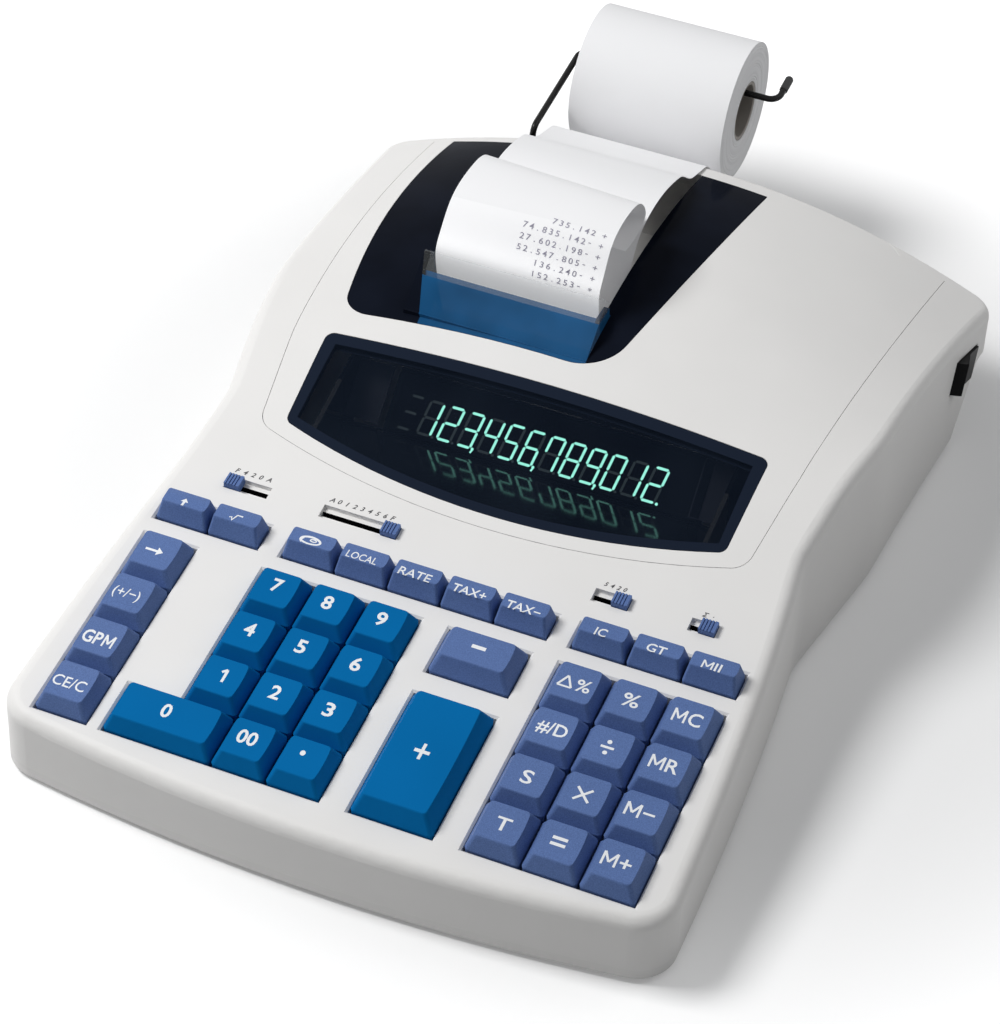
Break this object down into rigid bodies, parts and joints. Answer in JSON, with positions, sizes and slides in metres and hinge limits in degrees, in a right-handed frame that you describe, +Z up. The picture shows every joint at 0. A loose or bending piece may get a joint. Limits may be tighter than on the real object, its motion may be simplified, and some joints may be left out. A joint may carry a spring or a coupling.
{
  "type": "printing calculator",
  "caption": "Desktop printing calculator: sloped keyboard deck, digit display under a dark window, and a printer under a smoked lid, fed from a paper roll on a wire behind the housing.",
  "frame": {"origin": "on the desk under the rubber feet, in the middle of the bounding box from the front edge to the back of the paper roll", "axes": "+X to the right of the user, +Y away from the user towards the paper roll, +Z up; the deck rises towards +Y"},
  "size_m": [0.2284, 0.3831, 0.0953],
  "materials": {
    "housing_plastic": "fine grained off-white",
    "bright_keys": "smooth bright blue",
    "slate_keys": "smooth slate blue",
    "black_plastic": "smooth black",
    "window_plastic": "polished, almost black",
    "lid_plastic": "polished, smoked blue-black",
    "tube_glass": "dark, with lit green digits",
    "paper": "white, uncoated",
    "wire": "glossy black",
    "steel": "zinc plated sheet",
    "rubber": "matt black",
    "board": "green lacquered laminate"
  },
  "bodies": {
    "calculator": {"bottom_housing": "housing_plastic", "case_screws": "steel", "centre_panel": "housing_plastic", "circuit_board": "board", "display_tube": "tube_glass", "display_window": "window_plastic", "paper_web": "paper", "printer_frame": "steel", "roll_wire": "wire", "rubber_feet": "rubber", "top_housing": "housing_plastic"},
    "ink_roller": {"ink_roller": "rubber"},
    "key_0": {"key_0": "bright_keys"},
    "key_00": {"key_00": "bright_keys"},
    "key_1": {"key_1": "bright_keys"},
    "key_2": {"key_2": "bright_keys"},
    "key_3": {"key_3": "bright_keys"},
    "key_4": {"key_4": "bright_keys"},
    "key_5": {"key_5": "bright_keys"},
    "key_6": {"key_6": "bright_keys"},
    "key_7": {"key_7": "bright_keys"},
    "key_8": {"key_8": "bright_keys"},
    "key_9": {"key_9": "bright_keys"},
    "key_arrow_up": {"key_arrow_up": "slate_keys"},
    "key_backspace": {"key_backspace": "slate_keys"},
    "key_clear_entry": {"key_clear_entry": "slate_keys"},
    "key_currency": {"key_currency": "slate_keys"},
    "key_divide": {"key_divide": "slate_keys"},
    "key_equals": {"key_equals": "slate_keys"},
    "key_grand_total": {"key_grand_total": "slate_keys"},
    "key_item_count": {"key_item_count": "slate_keys"},
    "key_margin": {"key_margin": "slate_keys"},
    "key_memory_clear": {"key_memory_clear": "slate_keys"},
    "key_memory_minus": {"key_memory_minus": "slate_keys"},
    "key_memory_plus": {"key_memory_plus": "slate_keys"},
    "key_memory_recall": {"key_memory_recall": "slate_keys"},
    "key_memory_two": {"key_memory_two": "slate_keys"},
    "key_minus": {"key_minus": "slate_keys"},
    "key_number_date": {"key_number_date": "slate_keys"},
    "key_paper_feed": {"key_paper_feed": "slate_keys"},
    "key_percent": {"key_percent": "slate_keys"},
    "key_percent_change": {"key_percent_change": "slate_keys"},
    "key_plus": {"key_plus": "bright_keys"},
    "key_point": {"key_point": "bright_keys"},
    "key_rate": {"key_rate": "slate_keys"},
    "key_root": {"key_root": "slate_keys"},
    "key_sign": {"key_sign": "slate_keys"},
    "key_subtotal": {"key_subtotal": "slate_keys"},
    "key_tax_minus": {"key_tax_minus": "slate_keys"},
    "key_tax_plus": {"key_tax_plus": "slate_keys"},
    "key_times": {"key_times": "slate_keys"},
    "key_total": {"key_total": "slate_keys"},
    "paper_roll": {"paper_roll": "paper"},
    "platen_roller": {"platen_roller": "rubber"},
    "power_rocker": {"power_rocker": "black_plastic"},
    "printer_lid": {"printer_lid": "lid_plastic"},
    "slide_four_knob": {"slide_four_knob": "slate_keys"},
    "slide_one_knob": {"slide_one_knob": "slate_keys"},
    "slide_three_knob": {"slide_three_knob": "slate_keys"},
    "slide_two_knob": {"slide_two_knob": "slate_keys"}
  },
  "joints": [
    {"name": "key_0_press", "type": "slide", "parent": "calculator", "child": "key_0", "axis": [0, 0.1392, -0.9903], "range_m": [0, 0.003], "stiffness_N_per_m": 150, "springref_m": -0.001},
    {"name": "key_00_press", "type": "slide", "parent": "calculator", "child": "key_00", "axis": [0, 0.1392, -0.9903], "range_m": [0, 0.003], "stiffness_N_per_m": 150, "springref_m": -0.001},
    {"name": "key_1_press", "type": "slide", "parent": "calculator", "child": "key_1", "axis": [0, 0.1392, -0.9903], "range_m": [0, 0.003], "stiffness_N_per_m": 150, "springref_m": -0.001},
    {"name": "key_2_press", "type": "slide", "parent": "calculator", "child": "key_2", "axis": [0, 0.1392, -0.9903], "range_m": [0, 0.003], "stiffness_N_per_m": 150, "springref_m": -0.001},
    {"name": "key_3_press", "type": "slide", "parent": "calculator", "child": "key_3", "axis": [0, 0.1392, -0.9903], "range_m": [0, 0.003], "stiffness_N_per_m": 150, "springref_m": -0.001},
    {"name": "key_4_press", "type": "slide", "parent": "calculator", "child": "key_4", "axis": [0, 0.1392, -0.9903], "range_m": [0, 0.003], "stiffness_N_per_m": 150, "springref_m": -0.001},
    {"name": "key_5_press", "type": "slide", "parent": "calculator", "child": "key_5", "axis": [0, 0.1392, -0.9903], "range_m": [0, 0.003], "stiffness_N_per_m": 150, "springref_m": -0.001},
    {"name": "key_6_press", "type": "slide", "parent": "calculator", "child": "key_6", "axis": [0, 0.1392, -0.9903], "range_m": [0, 0.003], "stiffness_N_per_m": 150, "springref_m": -0.001},
    {"name": "key_7_press", "type": "slide", "parent": "calculator", "child": "key_7", "axis": [0, 0.1392, -0.9903], "range_m": [0, 0.003], "stiffness_N_per_m": 150, "springref_m": -0.001},
    {"name": "key_8_press", "type": "slide", "parent": "calculator", "child": "key_8", "axis": [0, 0.1392, -0.9903], "range_m": [0, 0.003], "stiffness_N_per_m": 150, "springref_m": -0.001},
    {"name": "key_9_press", "type": "slide", "parent": "calculator", "child": "key_9", "axis": [0, 0.1392, -0.9903], "range_m": [0, 0.003], "stiffness_N_per_m": 150, "springref_m": -0.001},
    {"name": "key_arrow_up_press", "type": "slide", "parent": "calculator", "child": "key_arrow_up", "axis": [0, 0.1392, -0.9903], "range_m": [0, 0.003], "stiffness_N_per_m": 150, "springref_m": -0.001},
    {"name": "key_backspace_press", "type": "slide", "parent": "calculator", "child": "key_backspace", "axis": [0, 0.1392, -0.9903], "range_m": [0, 0.003], "stiffness_N_per_m": 150, "springref_m": -0.001},
    {"name": "key_clear_entry_press", "type": "slide", "parent": "calculator", "child": "key_clear_entry", "axis": [0, 0.1392, -0.9903], "range_m": [0, 0.003], "stiffness_N_per_m": 150, "springref_m": -0.001},
    {"name": "key_currency_press", "type": "slide", "parent": "calculator", "child": "key_currency", "axis": [0, 0.1392, -0.9903], "range_m": [0, 0.003], "stiffness_N_per_m": 150, "springref_m": -0.001},
    {"name": "key_divide_press", "type": "slide", "parent": "calculator", "child": "key_divide", "axis": [0, 0.1392, -0.9903], "range_m": [0, 0.003], "stiffness_N_per_m": 150, "springref_m": -0.001},
    {"name": "key_equals_press", "type": "slide", "parent": "calculator", "child": "key_equals", "axis": [0, 0.1392, -0.9903], "range_m": [0, 0.003], "stiffness_N_per_m": 150, "springref_m": -0.001},
    {"name": "key_grand_total_press", "type": "slide", "parent": "calculator", "child": "key_grand_total", "axis": [0, 0.1392, -0.9903], "range_m": [0, 0.003], "stiffness_N_per_m": 150, "springref_m": -0.001},
    {"name": "key_item_count_press", "type": "slide", "parent": "calculator", "child": "key_item_count", "axis": [0, 0.1392, -0.9903], "range_m": [0, 0.003], "stiffness_N_per_m": 150, "springref_m": -0.001},
    {"name": "key_margin_press", "type": "slide", "parent": "calculator", "child": "key_margin", "axis": [0, 0.1392, -0.9903], "range_m": [0, 0.003], "stiffness_N_per_m": 150, "springref_m": -0.001},
    {"name": "key_memory_clear_press", "type": "slide", "parent": "calculator", "child": "key_memory_clear", "axis": [0, 0.1392, -0.9903], "range_m": [0, 0.003], "stiffness_N_per_m": 150, "springref_m": -0.001},
    {"name": "key_memory_minus_press", "type": "slide", "parent": "calculator", "child": "key_memory_minus", "axis": [0, 0.1392, -0.9903], "range_m": [0, 0.003], "stiffness_N_per_m": 150, "springref_m": -0.001},
    {"name": "key_memory_plus_press", "type": "slide", "parent": "calculator", "child": "key_memory_plus", "axis": [0, 0.1392, -0.9903], "range_m": [0, 0.003], "stiffness_N_per_m": 150, "springref_m": -0.001},
    {"name": "key_memory_recall_press", "type": "slide", "parent": "calculator", "child": "key_memory_recall", "axis": [0, 0.1392, -0.9903], "range_m": [0, 0.003], "stiffness_N_per_m": 150, "springref_m": -0.001},
    {"name": "key_memory_two_press", "type": "slide", "parent": "calculator", "child": "key_memory_two", "axis": [0, 0.1392, -0.9903], "range_m": [0, 0.003], "stiffness_N_per_m": 150, "springref_m": -0.001},
    {"name": "key_minus_press", "type": "slide", "parent": "calculator", "child": "key_minus", "axis": [0, 0.1392, -0.9903], "range_m": [0, 0.003], "stiffness_N_per_m": 150, "springref_m": -0.001},
    {"name": "key_number_date_press", "type": "slide", "parent": "calculator", "child": "key_number_date", "axis": [0, 0.1392, -0.9903], "range_m": [0, 0.003], "stiffness_N_per_m": 150, "springref_m": -0.001},
    {"name": "key_paper_feed_press", "type": "slide", "parent": "calculator", "child": "key_paper_feed", "axis": [0, 0.1392, -0.9903], "range_m": [0, 0.003], "stiffness_N_per_m": 150, "springref_m": -0.001},
    {"name": "key_percent_press", "type": "slide", "parent": "calculator", "child": "key_percent", "axis": [0, 0.1392, -0.9903], "range_m": [0, 0.003], "stiffness_N_per_m": 150, "springref_m": -0.001},
    {"name": "key_percent_change_press", "type": "slide", "parent": "calculator", "child": "key_percent_change", "axis": [0, 0.1392, -0.9903], "range_m": [0, 0.003], "stiffness_N_per_m": 150, "springref_m": -0.001},
    {"name": "key_plus_press", "type": "slide", "parent": "calculator", "child": "key_plus", "axis": [0, 0.1392, -0.9903], "range_m": [0, 0.003], "stiffness_N_per_m": 150, "springref_m": -0.001},
    {"name": "key_point_press", "type": "slide", "parent": "calculator", "child": "key_point", "axis": [0, 0.1392, -0.9903], "range_m": [0, 0.003], "stiffness_N_per_m": 150, "springref_m": -0.001},
    {"name": "key_rate_press", "type": "slide", "parent": "calculator", "child": "key_rate", "axis": [0, 0.1392, -0.9903], "range_m": [0, 0.003], "stiffness_N_per_m": 150, "springref_m": -0.001},
    {"name": "key_root_press", "type": "slide", "parent": "calculator", "child": "key_root", "axis": [0, 0.1392, -0.9903], "range_m": [0, 0.003], "stiffness_N_per_m": 150, "springref_m": -0.001},
    {"name": "key_sign_press", "type": "slide", "parent": "calculator", "child": "key_sign", "axis": [0, 0.1392, -0.9903], "range_m": [0, 0.003], "stiffness_N_per_m": 150, "springref_m": -0.001},
    {"name": "key_subtotal_press", "type": "slide", "parent": "calculator", "child": "key_subtotal", "axis": [0, 0.1392, -0.9903], "range_m": [0, 0.003], "stiffness_N_per_m": 150, "springref_m": -0.001},
    {"name": "key_tax_minus_press", "type": "slide", "parent": "calculator", "child": "key_tax_minus", "axis": [0, 0.1392, -0.9903], "range_m": [0, 0.003], "stiffness_N_per_m": 150, "springref_m": -0.001},
    {"name": "key_tax_plus_press", "type": "slide", "parent": "calculator", "child": "key_tax_plus", "axis": [0, 0.1392, -0.9903], "range_m": [0, 0.003], "stiffness_N_per_m": 150, "springref_m": -0.001},
    {"name": "key_times_press", "type": "slide", "parent": "calculator", "child": "key_times", "axis": [0, 0.1392, -0.9903], "range_m": [0, 0.003], "stiffness_N_per_m": 150, "springref_m": -0.001},
    {"name": "key_total_press", "type": "slide", "parent": "calculator", "child": "key_total", "axis": [0, 0.1392, -0.9903], "range_m": [0, 0.003], "stiffness_N_per_m": 150, "springref_m": -0.001},
    {"name": "slide_four_travel", "type": "slide", "parent": "calculator", "child": "slide_four_knob", "axis": [1, 0, 0], "range_m": [-0.0033, 0]},
    {"name": "slide_one_travel", "type": "slide", "parent": "calculator", "child": "slide_one_knob", "axis": [1, 0, 0], "range_m": [0, 0.0093]},
    {"name": "slide_three_travel", "type": "slide", "parent": "calculator", "child": "slide_three_knob", "axis": [1, 0, 0], "range_m": [-0.0065, 0]},
    {"name": "slide_two_travel", "type": "slide", "parent": "calculator", "child": "slide_two_knob", "axis": [1, 0, 0], "range_m": [-0.0211, 0]},
    {"name": "power_rocker_tip", "type": "hinge", "parent": "calculator", "child": "power_rocker", "pos_m": [0.10789, 0.09481, 0.031], "axis": [0.021, 0.2748, 0.9613], "range_deg": [-16, 0]},
    {"name": "printer_lid_lift", "type": "slide", "parent": "calculator", "child": "printer_lid", "axis": [0, 0, 1], "range_m": [0, 0.05]},
    {"name": "paper_roll_spin", "type": "hinge", "parent": "calculator", "child": "paper_roll", "pos_m": [-0.0247, 0.16625, 0.0612], "axis": [1, 0, 0], "continuous": true},
    {"name": "platen_spin", "type": "hinge", "parent": "calculator", "child": "platen_roller", "pos_m": [-0.0247, 0.035, 0.0487], "axis": [1, 0, 0], "continuous": true},
    {"name": "ink_roller_spin", "type": "hinge", "parent": "calculator", "child": "ink_roller", "pos_m": [-0.0247, 0.0176, 0.0372], "axis": [1, 0, 0], "continuous": true}
  ],
  "couplings": [
    {"joint": "platen_spin", "follows": "paper_roll_spin", "ratio": 4.2167}
  ]
}
